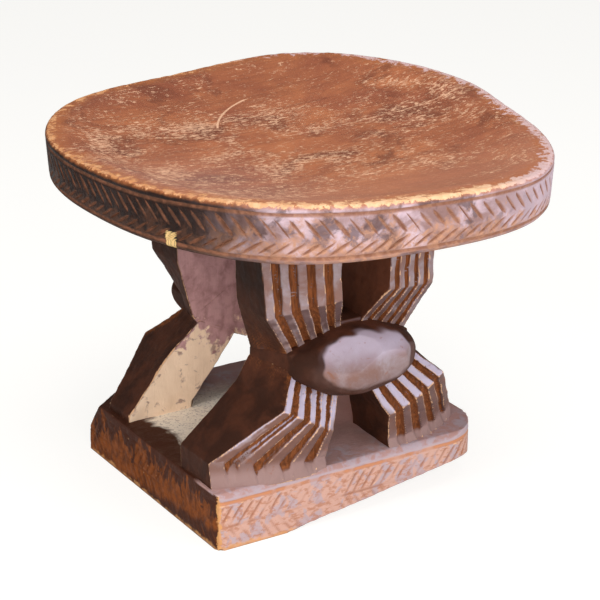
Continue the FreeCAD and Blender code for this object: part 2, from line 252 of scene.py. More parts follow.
class Recipe:
    def __init__(self, tree):
        self.tree = tree

    def feed(self, socket, value):
        if isinstance(value, bpy.types.NodeSocket):
            self.tree.links.new(value, socket)
        else:
            socket.default_value = value

    def node(self, kind, **settings):
        made = self.tree.nodes.new("ShaderNode" + kind)
        for name, value in settings.items():
            setattr(made, name, value)
        return made

    def place(self):
        return self.node("TexCoord").outputs["Object"]

    def attribute(self, name):
        return self.node("Attribute", attribute_name=name).outputs["Fac"]

    def axes(self, vector):
        return self.feed_all(self.node("SeparateXYZ"), [vector]).outputs

    def feed_all(self, made, values):
        for socket, value in zip(made.inputs, values):
            self.feed(socket, value)
        return made

    def math(self, operation, *values):
        return self.feed_all(self.node("Math", operation=operation), values).outputs[0]

    def times(self, first, second):
        return self.math("MULTIPLY", first, second)

    def plus(self, value, share, base):
        return self.math("MULTIPLY_ADD", value, share, base)

    def larger(self, first, second):
        return self.math("MAXIMUM", first, second)

    def apart(self, first, second):
        return self.math("ABSOLUTE", self.math("SUBTRACT", first, second))

    def stretch(self, vector, scale):
        made = self.node("VectorMath", operation="MULTIPLY")
        return self.feed_all(made, [vector, scale]).outputs[0]

    def turned(self, vector, degrees):
        made = self.node("VectorRotate", rotation_type="Z_AXIS")
        self.feed(made.inputs["Vector"], vector)
        made.inputs["Angle"].default_value = math.radians(degrees)
        return made.outputs[0]

    def noise(self, vector, scale, detail=4, rough=0.55, warp=0):
        made = self.node("TexNoise")
        self.feed(made.inputs["Vector"], vector)
        self.feed(made.inputs["Scale"], scale)
        made.inputs["Detail"].default_value = detail
        made.inputs["Roughness"].default_value = rough
        made.inputs["Distortion"].default_value = warp
        return made.outputs["Fac"]

    def warped(self, vector, scale, amount):
        cloud = self.node("TexNoise")
        self.feed(cloud.inputs["Vector"], vector)
        cloud.inputs["Scale"].default_value = scale
        pushed = self.node("VectorMath", operation="MULTIPLY_ADD")
        push = (amount, amount, amount)
        return self.feed_all(pushed, [cloud.outputs["Color"], push, vector]).outputs[0]

    def between(self, value, low, high):
        made = self.node("MapRange", interpolation_type="SMOOTHSTEP")
        return self.feed_all(made, [value, low, high]).outputs[0]

    def mix(self, mask, first, second, strength=1):
        made = self.node("Mix", data_type="RGBA")
        self.feed(made.inputs[0], mask if strength == 1 else self.times(mask, strength))
        self.feed(made.inputs[6], first)
        self.feed(made.inputs[7], second)
        return made.outputs[2]

    def layers(self, ground, *coats):
        for mask, paint, *strength in coats:
            ground = self.mix(mask, ground, paint, *strength)
        return ground

    def group(self, shared, **values):
        made = self.node("Group", node_tree=shared)
        for name, value in values.items():
            self.feed(made.inputs[name], value)
        return made.outputs[0]


# %% [markdown]
# ## Effects that several finishes share
# Patina lies in soft blotches, wear comes off along the grain in thin streaks, an adze leaves
# shallow squarish facets, and pores run along the wood. Each of these is one node group with its
# own inputs, built once and used by several finishes with other values.

# %% Shared node groups
def shared_effect(name, inputs, output):
    tree = bpy.data.node_groups.new(name, "ShaderNodeTree")
    for socket, kind in inputs.items():
        tree.interface.new_socket(name=socket, in_out="INPUT", socket_type=kind)
    tree.interface.new_socket(name=output, in_out="OUTPUT", socket_type="NodeSocketFloat")
    recipe = Recipe(tree)
    given = tree.nodes.new("NodeGroupInput").outputs
    result = tree.nodes.new("NodeGroupOutput").inputs[0]
    return tree, recipe, given, result


VECTOR = "NodeSocketVector"
FLOAT = "NodeSocketFloat"

blotches, recipe, given, result = shared_effect(
    "patina blotches", {"Place": VECTOR, "Scale": FLOAT, "Low": FLOAT, "High": FLOAT}, "Mask")
cloud = recipe.noise(given["Place"], given["Scale"], detail=6, rough=0.6, warp=0.6)
recipe.feed(result, recipe.between(cloud, given["Low"], given["High"]))

streaks, recipe, given, result = shared_effect(
    "worn streaks", {"Place": VECTOR, "Stretch": VECTOR, "Low": FLOAT, "High": FLOAT}, "Mask")
stretched = recipe.stretch(given["Place"], given["Stretch"])
drawn = recipe.noise(stretched, 1, detail=7, rough=0.68, warp=0.3)
recipe.feed(result, recipe.between(drawn, given["Low"], given["High"]))

adze_marks, recipe, given, result = shared_effect(
    "adze marks", {"Place": VECTOR, "Stretch": VECTOR}, "Height")
scallops = recipe.node("TexVoronoi", feature="F1", distance="CHEBYCHEV")
uneven = recipe.warped(given["Place"], 45, 0.012)
recipe.feed(scallops.inputs["Vector"], recipe.stretch(uneven, given["Stretch"]))
scallops.inputs["Scale"].default_value = 1
scallops.inputs["Randomness"].default_value = 0.75
recipe.feed(result, scallops.outputs["Distance"])

pores, recipe, given, result = shared_effect(
    "wood pores", {"Place": VECTOR, "Stretch": VECTOR}, "Height")
stretched = recipe.stretch(given["Place"], given["Stretch"])
recipe.feed(result, recipe.noise(stretched, 1, detail=5, rough=0.7))
print("shared effects:", [group.name for group in bpy.data.node_groups])


def wood_material(name):
    material = bpy.data.materials.new(name)
    material.use_nodes = True
    recipe = Recipe(material.node_tree)
    shader = material.node_tree.nodes["Principled BSDF"]
    return material, recipe, shader


def dress(recipe, shader, surface, gloss, shine, relief, depth):
    bump = recipe.node("Bump")
    bump.inputs["Strength"].default_value = 1
    bump.inputs["Distance"].default_value = depth
    recipe.feed(bump.inputs["Height"], relief)
    recipe.feed(shader.inputs["Normal"], bump.outputs["Normal"])
    recipe.feed(shader.inputs["Base Color"], surface)
    recipe.feed(shader.inputs["Roughness"], gloss)
    shader.inputs["Specular IOR Level"].default_value = shine


# %% [markdown]
# ## The finish of the carved panels
# The limbs were planed into flat ridges, and the grooves between them were gouged out. Handling
# has polished the ridges to a grey patina, and a grey, slightly violet sheen of light is painted
# over it, while the grooves still show raw orange-brown wood and the sides are dark chocolate.
# Painted shade darkens the sides high on the left under the seat, and painted light brightens
# them high on the right. The faces that look into the pedestal are dull mauve with adze marks,
# and near the floor they are rubbed down to cream. Facets that look up carry a painted pale lilac
# reflection of the sky, facets that look down a painted darker shade, and the feet are browner.
# The masks come from the attributes on the points: groove, ridge, inner, edge and up.

# %% Material of limbs and bodies
CHOCOLATE = colour(84, 47, 32)
DEEP_CHOCOLATE = colour(60, 34, 24)
SHADED_BROWN = colour(40, 25, 19)
LIT_BROWN = colour(128, 76, 54)
SHADED_MAUVE = colour(100, 76, 74)
BROWN_MAUVE = colour(140, 106, 97)
VIOLET_GREY = colour(164, 148, 152)
SKY_SHEEN_LILAC = colour(200, 188, 208)
LOW_BROWN = colour(120, 83, 70)
SOLE_MAUVE = colour(168, 138, 134)
RAW_ORANGE = colour(148, 86, 48)
RAW_BROWN = colour(98, 56, 32)
PALE_TAN = colour(236, 188, 146)
MAUVE = colour(200, 156, 156)
DULL_MAUVE = colour(162, 120, 120)
STAIN = colour(128, 92, 92)
CREAM = colour(250, 222, 194)


def panel_wood():
    material, recipe, shader = wood_material("panel_wood")
    place = recipe.place()
    across, deep, height = recipe.axes(place)
    groove = recipe.attribute("groove")
    ridge = recipe.attribute("ridge")
    inner = recipe.attribute("inner")
    edge = recipe.attribute("edge")
    up = recipe.attribute("up")
    soft = recipe.group(blotches, Place=place, Scale=38, Low=0.36, High=0.66)
    fine = recipe.group(blotches, Place=place, Scale=160, Low=0.35, High=0.7)
    grain = recipe.group(streaks, Place=place, Stretch=(420, 420, 60), Low=0.35, High=0.68)
    marks = recipe.group(adze_marks, Place=place, Stretch=(95, 95, 62))

    # Painted shade of the seat darkens the upper sides on the left, and painted light brightens the
    # upper sides on the right.
    on_left = recipe.between(across, -0.05, -0.08)
    shade_under_seat = recipe.times(recipe.between(height, 0.17, 0.24), on_left)
    lit_right = recipe.times(
        recipe.between(height, 0.16, 0.2), recipe.between(across, 0.0, 0.04))
    dark = recipe.layers(
        DEEP_CHOCOLATE, (soft, CHOCOLATE), (shade_under_seat, SHADED_BROWN, 0.7),
        (lit_right, LIT_BROWN, 0.8))

    below_knee = recipe.times(recipe.between(up, 0.05, -0.05), recipe.between(height, 0.14, 0.125))
    low = recipe.larger(below_knee, recipe.between(height, 0.085, 0.07))
    sole = recipe.between(height, 0.074, 0.062)
    # Facets that look up get a painted pale reflection of the sky, facets that look down painted
    # shade.
    skyward_sheen = recipe.times(recipe.between(up, 0.02, 0.4), recipe.between(height, 0.08, 0.096))
    downward_shade = recipe.between(up, -0.12, -0.5)
    # The ridges' grey patina is partly real and partly a painted sheen of the cool light.
    polish_and_sheen = recipe.layers(
        BROWN_MAUVE, (soft, VIOLET_GREY), (fine, BROWN_MAUVE, 0.3), (low, LOW_BROWN, 0.85),
        (sole, SOLE_MAUVE, 0.7), (skyward_sheen, SKY_SHEEN_LILAC), (downward_shade, SHADED_MAUVE))

    ragged = recipe.plus(recipe.noise(place, 32, 4, 0.6, 0.5), -0.13, height)
    ragged = recipe.plus(recipe.noise(place, 130, 4, 0.6, 0.5), -0.05, ragged)
    low_down = recipe.between(ragged, 0.03, 0.018)
    hollows = recipe.between(recipe.plus(fine, 0.3, marks), 0.2, 1.0)
    stained = recipe.group(blotches, Place=place, Scale=75, Low=0.56, High=0.66)
    bare = recipe.mix(stained, CREAM, STAIN, 0.7)
    dull = recipe.layers(MAUVE, (hollows, DULL_MAUVE), (low_down, bare))

    flushed = recipe.group(blotches, Place=place, Scale=110, Low=0.6, High=0.7)
    flushed = recipe.times(flushed, ridge)
    raw = recipe.mix(grain, RAW_BROWN, RAW_ORANGE)
    bruises = recipe.noise(place, 150, 3)
    bruised = recipe.plus(recipe.between(height, 0.125, 0.09), 0.16, bruises)
    nicks = recipe.between(recipe.times(edge, bruised), 0.24, 0.42)
    rear_top = recipe.times(recipe.between(deep, 0.0, 0.03), recipe.between(height, 0.15, 0.2))
    nicks = recipe.times(nicks, recipe.plus(rear_top, -0.55, 0.75))
    surface = recipe.layers(
        dark, (ridge, polish_and_sheen), (inner, dull), (flushed, RAW_ORANGE, 0.45), (groove, raw),
        (nicks, PALE_TAN))

    dry = recipe.larger(groove, recipe.times(inner, 0.7))
    dull_side = recipe.plus(ridge, -0.2, 0.62)
    gloss = recipe.plus(dry, 0.12, recipe.plus(fine, 0.12, dull_side))
    fibre = recipe.group(pores, Place=place, Stretch=(900, 900, 110))
    relief = recipe.plus(fibre, 0.4, recipe.times(marks, 0.7))
    dress(recipe, shader, surface, gloss, shine=0.15, relief=relief, depth=0.7 * MM)
    return material


panel_finish = panel_wood()

# %% [markdown]
# ## The limbs
# Each limb is a remeshed copy of its node. Its flat ends are pushed a few millimetres into the
# seat, the plinth or the body first, because carved wood has no seam there and a blunt edge would
# show as one. Smooth noise then sways the ridges sideways, as a gouge wanders. To tell ridge from
# groove, the limb is looked at along Y: the outermost point in each small cell of a grid is kept,
# every row of cells is swollen and shrunk again, which closes the grooves, and a point's depth is
# how far it lies behind that closed face. The walls of a groove are told by the way they face. The
# sides of the limb face the same way, so points close to the end of their row are left out.

# %% Ends, grooves and notes of a limb
LIMB_SKIN = 1.05 * MM
END_DEPTH = 4 * MM
SEAT_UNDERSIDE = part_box("seat")[0].z
BASE_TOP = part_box("base")[1].z
NEAR = 0.3 * MM
CELL_SIZE = np.array((1.0, 0.8)) * MM
CLOSING = 18
SLOPE_SHARE = 1.5
SIDE_BAND = np.array((1.5, 3.0)) * MM
FRONT_DEPTH = 13 * MM
FOOT_BAND = BASE_TOP + np.array((4, 9)) * MM
UPRIGHT = 0.02
SLANTED = 0.2
WIDE_SWAY = 0.75
FINE_SWAY = 0.3
WALL_FACING = (0.42, 0.62)
BED_FACING = (0.15, 0.4)
BED_DEPTH = (0.5, 1.1)
OPEN_DEPTH = (6, 8)
FRONT_FACING = (0.3, 0.6)
INNER_FACING = (0.5, 0.8)
LIMB_EDGE = (0.08, 0.26)


def end_plane(body_node, side, upward):
    shape = solid_copy(body_node)
    shape.normal_update()
    sloping = [
        face for face in shape.faces
        if abs(face.normal.y) < UPRIGHT
        and face.normal.x * side > SLANTED
        and face.normal.z * upward > SLANTED]
    widest = max(sloping, key=lambda face: face.calc_area())
    plane = widest.normal.copy(), widest.verts[0].co.copy()
    shape.free()
    return plane


def sink_ends(shape, plane):
    normal, spot = plane
    top = [v for v in shape.verts if v.co.z > SEAT_UNDERSIDE - NEAR]
    sole = [v for v in shape.verts if v.co.z < BASE_TOP + NEAR]
    waist = [v for v in shape.verts if abs((v.co - spot).dot(normal)) < NEAR]
    bmesh.ops.translate(shape, verts=top, vec=(0, 0, END_DEPTH))
    bmesh.ops.translate(shape, verts=sole, vec=(0, 0, -END_DEPTH))
    bmesh.ops.translate(shape, verts=waist, vec=-normal * END_DEPTH)


def spread_rows(grid, pick):
    moved = [np.roll(grid, step, 0) for step in range(-CLOSING, CLOSING + 1)]
    return pick(moved, axis=0)


def depth_behind_ridges(points, outward):
    cells = np.round(points[:, [0, 2]] / CELL_SIZE).astype(int)
    cells += np.array((2 * CLOSING + 2, 1)) - cells.min(axis=0)
    grid = np.full(cells.max(axis=0) + np.array((2 * CLOSING + 3, 2)), -1.0)
    standing = points[:, 1] * outward
    np.maximum.at(grid, (cells[:, 0], cells[:, 1]), standing)
    closed = spread_rows(spread_rows(grid, np.max), np.min)
    in_front = grid > grid.max(axis=0) - FRONT_DEPTH
    first = in_front.argmax(axis=0)[cells[:, 1]]
    last = len(grid) - 1 - in_front[::-1].argmax(axis=0)[cells[:, 1]]
    from_side = np.minimum(cells[:, 0] - first, last - cells[:, 0]) * CELL_SIZE[0]
    return (closed[cells[:, 0], cells[:, 1]] - standing) / MM, from_side


def roughen(piece, seed):
    points = points_of(piece)
    drift = 0.4 * wander(points, 16 * MM, seed) + 0.2 * wander(points, 6 * MM, seed + 20)
    set_points(piece, points + normals_of(piece) * drift[:, None] * MM)


def weather_limb(piece, outward, seed):
    points = points_of(piece)
    aside = WIDE_SWAY * sway(points, 13 * MM, seed) + FINE_SWAY * sway(points, 5 * MM, seed + 9)
    set_points(piece, points + aside * MM)
    roughen(piece, seed)
    even = relaxed(normals_of(piece), edge_ends(piece), 12)
    facing = even[:, 1] * outward
    crisp = relaxed(normals_of(piece), edge_ends(piece), 3)
    crisp_facing = crisp[:, 1] * outward
    depth, from_side = depth_behind_ridges(points_of(piece), outward)
    wall = smooth_step(from_side, *SIDE_BAND) * (1 - smooth_step(crisp_facing, *WALL_FACING))
    sloping = SLOPE_SHARE * np.abs(even[:, 2])
    bed = smooth_step(depth - sloping, *BED_DEPTH) * smooth_step(facing, *BED_FACING)
    groove = np.maximum(bed, wall * (facing > -0.2)) * (1 - smooth_step(depth, *OPEN_DEPTH))
    groove *= smooth_step(points_of(piece)[:, 2], *FOOT_BAND)
    note(piece, "groove", groove)
    note(piece, "ridge", smooth_step(facing, *FRONT_FACING) * (1 - groove))
    note(piece, "inner", smooth_step(-facing, *INNER_FACING))
    note(piece, "up", crisp[:, 2] * smooth_step(crisp_facing, *FRONT_FACING))
    note(piece, "edge", smooth_step(standing_out(piece, 3), *LIMB_EDGE))


# %% The eight limbs
limbs = [node for node in sorted(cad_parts) if node.endswith("limb")]
for seed, node in enumerate(limbs):
    panel = node.split("_")[0]
    plane = end_plane(panel + "_body", -1 if "left" in node else 1, 1 if "upper" in node else -1)
    shape = solid_copy(node)
    sink_ends(shape, plane)
    limb = even_skin(shape, node + "_carved", LIMB_SKIN)
    weather_limb(limb, -1 if panel == "front" else 1, seed)
    hand_over(limb, node, panel_finish)

# %% [markdown]
# ## The almond bodies
# The carver finished each body with two broad flat strokes, one along its front and one above it,
# which meet in a crisp ridge, and with smaller ones at its ends. A flat stroke is a plane: every
# point that stands proud of the plane is laid onto it. The planes are set by the direction that
# they face and by how deep the stroke went, in millimetres. On the outer side of each body a
# rounded patch, polished by hands and carrying a painted highlight that is palest at its top,
# fades downwards.

# %% The two bodies
BODY_SKIN = 1.2 * MM
STROKES = [
    ((0.16, -0.98, -0.02), 6.0),
    ((-0.22, -0.66, 0.72), 5.0),
    ((0.62, -0.76, 0.12), 2.5),
    ((0.08, -0.72, -0.70), 3.0),
]


def plane_off(points, direction, depth):
    direction = np.array(direction) / np.linalg.norm(direction)
    reach = points @ direction
    proud = np.maximum(reach - (reach.max() - depth), 0)
    return points - proud[:, None] * direction


POLISH_HIGHLIGHT_MIDDLE = np.array((0, 152)) * MM
POLISH_HIGHLIGHT_HALF = np.array((48, 25)) * MM
UPPER_PART = np.array((128, 150)) * MM
HIGHLIGHT_PART = np.array((144, 168)) * MM
LEAST_POLISH_HIGHLIGHT = 0.72
HANDLED = 0.12
BODY_EDGE = (0.12, 0.4)


def weather_body(piece, side, seed):
    roughen(piece, seed)
    points = points_of(piece)
    even = relaxed(normals_of(piece), edge_ends(piece), 6)
    away = np.linalg.norm((points[:, [0, 2]] - POLISH_HIGHLIGHT_MIDDLE) / POLISH_HIGHLIGHT_HALF, axis=1)
    away += 0.14 * wander(points, 8 * MM, seed + 3)
    outward_side = smooth_step(-even[:, 1] * side, 0.15, 0.35)
    note(piece, "groove", np.zeros(len(points)))
    # The rounded patch is polish from hands together with a painted highlight.
    upper = smooth_step(points[:, 2], *UPPER_PART)
    polish_and_highlight = LEAST_POLISH_HIGHLIGHT + (1 - LEAST_POLISH_HIGHLIGHT) * upper
    polish_and_highlight *= 1 - smooth_step(away, 0.72 + 0.2 * upper, 1.02)
    handled = HANDLED * smooth_step(-even[:, 1] * side, 0.55, 0.8)
    note(piece, "ridge", np.maximum(polish_and_highlight, handled) * outward_side)
    note(piece, "inner", smooth_step(even[:, 1] * side, *INNER_FACING))
    # 'up' rises towards the top of the body, where the painted highlight is palest.
    note(piece, "up", 0.02 + 0.26 * smooth_step(points[:, 2], *HIGHLIGHT_PART))
    note(piece, "edge", smooth_step(standing_out(piece, 3), *BODY_EDGE))


for side, node in ((1, "front_body"), (-1, "rear_body")):
    body = even_skin(solid_copy(node), node + "_carved", BODY_SKIN)
    points = points_of(body)
    for (right, toward, up), depth in STROKES:
        points = plane_off(points, (right * side, toward * side, up), depth * MM)
    set_points(body, points)
    weather_body(body, side, 40 + side)
    hand_over(body, node, panel_finish)

# %% [markdown]
# ## The seat
# The seat is a dished slab whose rim carries a herringbone: a row of slanting knife cuts above a
# row that slants the other way, between two scored lines. Cut as a boolean this would need some
# two hundred cutters. Here the mesh itself follows the pattern. A profile is spun into a grid with
# twelve columns for each cut, the columns lean with the cuts, and they crowd together where a cut
# goes in, so that each cut has clean edges. Rays find the CAD surface, so the size stays right. The
# top of the rim climbs towards two sides, so its height is measured all the way round.

# %% The outline of the seat
seat_solid = solid_copy("seat")
seat_tree = BVHTree.FromBMesh(seat_solid)
seat_solid.free()
RIM_BOTTOM = SEAT_UNDERSIDE
GIRTH_HEIGHT = RIM_BOTTOM + 32 * MM
RIM_BAND = 7 * MM
FAR = 0.5
DOWN = Vector((0, 0, -1))


def outward(angle):
    return Vector((math.cos(angle), math.sin(angle), 0))


def rim_reach(angle, height):
    start = outward(angle) * FAR + Vector((0, 0, height))
    found = seat_tree.ray_cast(start, -outward(angle))[0]
    return math.hypot(found.x, found.y)


def top_height(x, y):
    return seat_tree.ray_cast(Vector((x, y, FAR)), DOWN)[0].z


OUTLINE_STEPS = 2880
outline_angles = np.linspace(0, 2 * math.pi, OUTLINE_STEPS + 1)
outline_reach = np.array([rim_reach(angle, GIRTH_HEIGHT) for angle in outline_angles])
all_round = np.stack([np.cos(outline_angles), np.sin(outline_angles)], 1)
outline = outline_reach[:, None] * all_round
inside_rim = outline * (1 - RIM_BAND / outline_reach[:, None])
outline_top = np.array([top_height(*point) for point in inside_rim])
outline_run = np.concatenate([[0], np.cumsum(np.linalg.norm(np.diff(outline, axis=0), axis=1))])
OUTLINE_LENGTH = outline_run[-1]
rim_heights = (outline_top - RIM_BOTTOM) / MM
print("rim is", round(OUTLINE_LENGTH / MM), "mm round and", round(rim_heights.min(), 1), "to",
      round(rim_heights.max(), 1), "mm high")


def angle_at(run):
    return float(np.interp(run % OUTLINE_LENGTH, outline_run, outline_angles))


# %% The grid of the seat, spun from a profile
CUTS = 116
COLUMNS_PER_CUT = 12
FACE_HEIGHT = 48.5
FACE_ROWS = np.concatenate([
    np.linspace(1.5, 4.2, 4), np.linspace(4.8, 7.3, 6), np.linspace(8.2, 28.3, 16),
    np.linspace(29.2, 41.4, 10), np.linspace(42.1, 45.0, 6), np.linspace(45.8, 48.2, 4),
])
TOP_ROWS = [2.3, 3.6, 5.2, 7.2, 9.5, 12.5, 16.5, 22, 30, 42, 60, 85, 115, 150]
UNDER_ROWS = [0.8, 3, 10, 40, 110]
NOMINAL_REACH = 0.5

seat_shape = bmesh.new()
profile = [(NOMINAL_REACH - 0.2, -0.3)]
profile += [(NOMINAL_REACH - inset * MM, -0.2) for inset in reversed(UNDER_ROWS)]
profile += [(NOMINAL_REACH, -depth * MM) for depth in reversed(FACE_ROWS)]
profile += [(NOMINAL_REACH - inset * MM, 0.2) for inset in TOP_ROWS]
profile += [(NOMINAL_REACH - 0.2, 0.3)]
chain = [seat_shape.verts.new((reach, 0, height)) for reach, height in profile]
for one, two in zip(chain, chain[1:]):
    seat_shape.edges.new((one, two))
bmesh.ops.spin(
    seat_shape, geom=seat_shape.verts[:] + seat_shape.edges[:], axis=(0, 0, 1), cent=(0, 0, 0),
    angle=2 * math.pi, steps=CUTS * COLUMNS_PER_CUT, use_merge=True)
print("seat grid has", len(seat_shape.verts), "points")

# %% [markdown]
# ## Where each cut lies
# A hand does not space cuts evenly. Each cut gets its own shift, width, depth and length. The
# columns of the grid are laid out between the shifted cuts and crowd towards them. Down the rim a
# column leans to the right as far as the middle line and back again below it, which makes the
# arrow shape of the herringbone.

# %% The layout of the herringbone
CUT_PITCH = OUTLINE_LENGTH / CUTS
UPPER_LEAN = 16 * MM
LOWER_LEAN = 18.5 * MM
UPPER_LINE = 6.0
CUT_TOP = 8.4
CUT_MIDDLE = 28.7
CUT_BOTTOM = 41.5
LOWER_LINE = 43.6
CUT_ROWS = ((CUT_TOP, CUT_MIDDLE - 0.8), (CUT_MIDDLE + 0.6, CUT_BOTTOM))
CROWDING = 0.62
MOST_SHIFT = 0.09
LEAST_WIDTHS = (1.9, 2.5)
WIDTH_SPREAD = 1.35
CUT_DEPTHS = (1.3, 2.2)
MOST_TRIM = 0.09
TAPER = 4.5
TAPER_POWER = 0.7
LINE_WAVER = 0.7
LINE_WAVE = 50 * MM
LINE_DEPTH = 1.25
LINE_HALF = 2.0


def for_each_cut(low, high):
    return [random.uniform(low, high) for _ in range(CUTS)]


cut_shifts = for_each_cut(-MOST_SHIFT, MOST_SHIFT)
cut_places = [(cut + shift) * CUT_PITCH for cut, shift in enumerate(cut_shifts)]
cut_places.append(cut_places[0] + OUTLINE_LENGTH)
cut_widths = [for_each_cut(low, WIDTH_SPREAD * low) for low in LEAST_WIDTHS]
cut_depths = [for_each_cut(*CUT_DEPTHS) for _ in CUT_ROWS]
cut_trims = [for_each_cut(0, MOST_TRIM) for _ in CUT_ROWS]


def run_of_column(column):
    cut = int(column // COLUMNS_PER_CUT) % CUTS
    share = column / COLUMNS_PER_CUT - column // COLUMNS_PER_CUT
    crowded = share - CROWDING * math.sin(2 * math.pi * share) / (2 * math.pi)
    gap = cut_places[cut + 1] - cut_places[cut]
    return cut_places[cut] + crowded * gap, cut, crowded * gap


def lean_at(depth):
    upper = (depth - CUT_TOP) / (CUT_MIDDLE - CUT_TOP)
    lower = (depth - CUT_MIDDLE) / (CUT_BOTTOM - CUT_MIDDLE)
    return UPPER_LEAN * clamped(upper) - LOWER_LEAN * clamped(lower)


def knife_cut(cut, offset, depth):
    best = 0
    for row, (start, end) in enumerate(CUT_ROWS):
        along = (depth - start) / (end - start)
        for which, distance in ((cut, offset), ((cut + 1) % CUTS, CUT_PITCH - offset)):
            trim = cut_trims[row][which]
            place = (along - trim) / (1 - 2 * trim)
            if 0 < place < 1:
                slim = min(1, TAPER * min(place, 1 - place)) ** TAPER_POWER
                width = cut_widths[row][which] * slim
                bite = cut_depths[row][which] * slim * fading(distance / MM, width)
                best = max(best, bite)
    return best


def scored_line(run, depth, line, seed):
    waver = LINE_WAVER * noise.noise(Vector((run / LINE_WAVE, seed, 0.3)))
    return furrow(depth - line - waver, LINE_DEPTH, LINE_HALF)


# %% [markdown]
# ## Laying the grid on the seat
# Every point of the grid knows its column from its angle and its row from its nominal place. A ray
# gives it the real surface. Then it is pushed in where the knife went, where the edge is chipped
# and where the rim has a fresh break. The rows keep their share of the rim's height, which differs
# from side to side.

# %% Carving the seat
BREAK_RUN = float(np.interp(math.radians(210.5), outline_angles, outline_run))
BREAK_HALF_WIDTH = 5.5
BREAK_TOP = 33
BREAK_RAGGED = 3
BREAK_DEPTH = 0.8
SPLINTER_DEPTH = 0.5
SPLINTER_PACE = 2.6
SPLINTER_SIZE = 4 * MM
CHIP_SIZE = 11 * MM
CRUMB_SIZE = 4.5 * MM
CRUMB_SHIFT = Vector((5, 1, 2))
CHIP_DEPTH = 0.9
CRUMB_DEPTH = 0.5
LEFT_WEAR = 1.5
LEFT_SIDE = 50 * MM


def chipped(x, y, z):
    spot = Vector((x, y, z))
    coarse = max(0, noise.noise(spot / CHIP_SIZE) + 0.15)
    fine = max(0, noise.noise(spot / CRUMB_SIZE + CRUMB_SHIFT))
    rougher = LEFT_WEAR if x < -LEFT_SIDE and y < LEFT_SIDE else 1
    return rougher * (CHIP_DEPTH * coarse + CRUMB_DEPTH * fine)


def fresh_break(run, depth):
    across = (run - BREAK_RUN) / MM
    ragged = BREAK_TOP + BREAK_RAGGED * noise.noise(Vector((run / SPLINTER_SIZE, 0.5, 0.5)))
    if abs(across) > BREAK_HALF_WIDTH or depth < ragged:
        return 0
    return BREAK_DEPTH + SPLINTER_DEPTH * math.sin(across * SPLINTER_PACE)


LEFT_DROP = 3.0
FACE_CHIPS = 4.5
FACE_EDGE = 6
TOP_CHIPS = 7
TOP_EDGE = 30
EVEN_INSET = 100
INNER_SPAN = 160
POLE_INSET = 190


def line_drop(angle):
    return LEFT_DROP * (0.5 - 0.5 * math.cos(angle)) ** 3


def lay_point(vertex):
    nominal = vertex.co
    column = math.atan2(nominal.y, nominal.x) / (2 * math.pi) * CUTS * COLUMNS_PER_CUT
    column = round(column) % (CUTS * COLUMNS_PER_CUT)
    run, cut, offset = run_of_column(column)
    reach = math.hypot(nominal.x, nominal.y)
    on_face = abs(reach - NOMINAL_REACH) < 0.1 * MM
    inset = (NOMINAL_REACH - reach) / MM
    if on_face:
        full_depth = depth = -nominal.z / MM
        depth -= line_drop(angle_at(run)) * (1 - depth / FACE_HEIGHT)
        run += lean_at(depth)
        angle = angle_at(run)
        top = float(np.interp(angle, outline_angles, outline_top))
        height = top - full_depth / FACE_HEIGHT * (top - RIM_BOTTOM)
        carved = max(
            knife_cut(cut, offset, depth), scored_line(run, depth, UPPER_LINE, 1),
            scored_line(run, depth, LOWER_LINE, 2))
        broken = fresh_break(run, depth)
        reach = rim_reach(angle, height) - max(carved, broken) * MM
        side = outward(angle) * reach
        worn = chipped(side.x, side.y, height) * fading(full_depth, FACE_CHIPS)
        side = outward(angle) * (reach - worn * MM)
        spot = Vector((side.x, side.y, height))
        return spot, carved, fading(full_depth, FACE_EDGE), 1, broken, full_depth / FACE_HEIGHT
    angle = angle_at(run)
    full = float(np.interp(angle, outline_angles, outline_reach))
    inside = full * fading(inset, INNER_SPAN) if inset < POLE_INSET else 0
    if inset < EVEN_INSET:
        inside = full - inset * MM
    if nominal.z > 0:
        x, y = outward(angle).xy * inside
        height = top_height(x, y)
        worn = chipped(x, y, height) * fading(inset, TOP_CHIPS)
        return Vector((x, y, height - worn * MM)), 0, fading(inset, TOP_EDGE), 0, 0, 0
    under = inside
    if inset < EVEN_INSET:
        under = rim_reach(angle, RIM_BOTTOM + 1 * MM) - inset * MM
    x, y = outward(angle).xy * under
    return Vector((x, y, RIM_BOTTOM)), 0, 0, 1, 0, 1


RAW_FROM = 0.9
laid = [lay_point(vertex) for vertex in seat_shape.verts]
for vertex, (spot, *_) in zip(seat_shape.verts, laid):
    vertex.co = spot
notes = np.array([row[1:] for row in laid])
seat = as_object(seat_shape, "seat_carved")
notes[:, 0] = np.clip(notes[:, 0] / RAW_FROM, 0, 1)
for name, values in zip(("cut", "edge", "rim", "fresh", "low"), notes.T):
    note(seat, name, values)

# %% Closing the poles of the seat
closing = bmesh.new()
closing.from_mesh(seat.data)
bmesh.ops.remove_doubles(closing, verts=closing.verts, dist=0.02 * MM)
bmesh.ops.recalc_face_normals(closing, faces=closing.faces)
open_edges = sum(1 for edge in closing.edges if not edge.is_manifold)
closing.to_mesh(seat.data)
closing.free()
print("seat has", len(seat.data.polygons), "faces and", open_edges, "open edges")

# %% [markdown]
# ## The finish of the seat
# Sitting has worn the top: red-brown patina rubbed pale in streaks and flecks along the grain,
# thickest to the left, with dark stains and painted shade towards the back, a painted plum sheen
# at the front left, one long hair crack, one curved scratch and a golden rubbed edge, which takes
# a painted pale highlight towards the front and a painted lilac sheen on the right. The rim is
# dark patina with painted shade on the left, and mauve and lilac patina with painted light and
# sheen towards the front and the right, with copper in its lower half. The cuts show raw wood,
# in a painted lit and a painted shaded copy of its colour.

